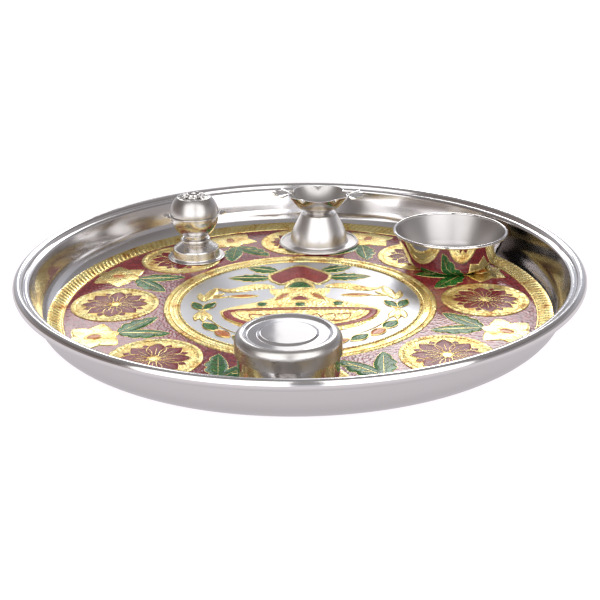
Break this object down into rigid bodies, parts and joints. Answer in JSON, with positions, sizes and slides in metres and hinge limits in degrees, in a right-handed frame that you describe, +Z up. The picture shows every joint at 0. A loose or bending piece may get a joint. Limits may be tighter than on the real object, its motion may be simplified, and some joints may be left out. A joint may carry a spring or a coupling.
{
  "type": "puja thali",
  "caption": "Round steel offering tray with gilt and enamelled floor relief, carrying a loose incense stand, lobed oil lamp, small bowl and lidded powder box.",
  "frame": {"origin": "under the middle of the tray, on the surface it stands on", "axes": "+Z up; the front of the tray and of its pot figure towards -Y; +X to the right"},
  "size_m": [0.28, 0.28, 0.0383],
  "materials": {
    "tray_steel": "bright polished stainless sheet with fine wear",
    "vessel_steel": "mirror polished stainless sheet",
    "gilding": "gold lacquer over stippled relief",
    "maroon_enamel": "glossy cold enamel over a stippled ground",
    "red_enamel": "glossy cold enamel",
    "green_enamel": "glossy cold enamel",
    "orange_enamel": "glossy cold enamel"
  },
  "bodies": {
    "tray": {"tray_pan": "tray_steel", "rope_border": "gilding", "field_enamel": "maroon_enamel", "medallion_ring": "gilding", "round_medallions": "gilding", "medallion_lotuses": "maroon_enamel", "gilt_lilies": "gilding", "lily_hearts": "orange_enamel", "leaf_pairs": "green_enamel", "pot_gilding": "gilding", "pot_red_enamel": "red_enamel", "pot_green_enamel": "green_enamel", "pot_orange_enamel": "orange_enamel", "wreath_gilding": "gilding", "wreath_green_enamel": "green_enamel", "wreath_orange_enamel": "orange_enamel"},
    "incense_stand": {"incense_foot": "vessel_steel", "incense_neck_ring": "vessel_steel", "incense_lower_bowl": "vessel_steel", "incense_band": "vessel_steel", "incense_dome": "vessel_steel", "incense_collar": "vessel_steel", "incense_rivet": "vessel_steel"},
    "oil_lamp": {"lamp_stand": "vessel_steel", "lamp_collar": "vessel_steel", "lamp_bowl": "vessel_steel", "lamp_rivet": "vessel_steel"},
    "small_bowl": {"katori": "vessel_steel"},
    "powder_box": {"box_cup": "vessel_steel"},
    "powder_box_lid": {"box_lid": "vessel_steel"}
  },
  "joints": [
    {"name": "incense_lift", "type": "slide", "parent": "tray", "child": "incense_stand", "axis": [0, 0, 1], "range_m": [0, 0.06]},
    {"name": "lamp_lift", "type": "slide", "parent": "tray", "child": "oil_lamp", "axis": [0, 0, 1], "range_m": [0, 0.06]},
    {"name": "bowl_lift", "type": "slide", "parent": "tray", "child": "small_bowl", "axis": [0, 0, 1], "range_m": [0, 0.06]},
    {"name": "box_lift", "type": "slide", "parent": "tray", "child": "powder_box", "axis": [0, 0, 1], "range_m": [0, 0.06]},
    {"name": "lid_lift", "type": "slide", "parent": "powder_box", "child": "powder_box_lid", "axis": [0, 0, 1], "range_m": [0, 0.04]}
  ]
}
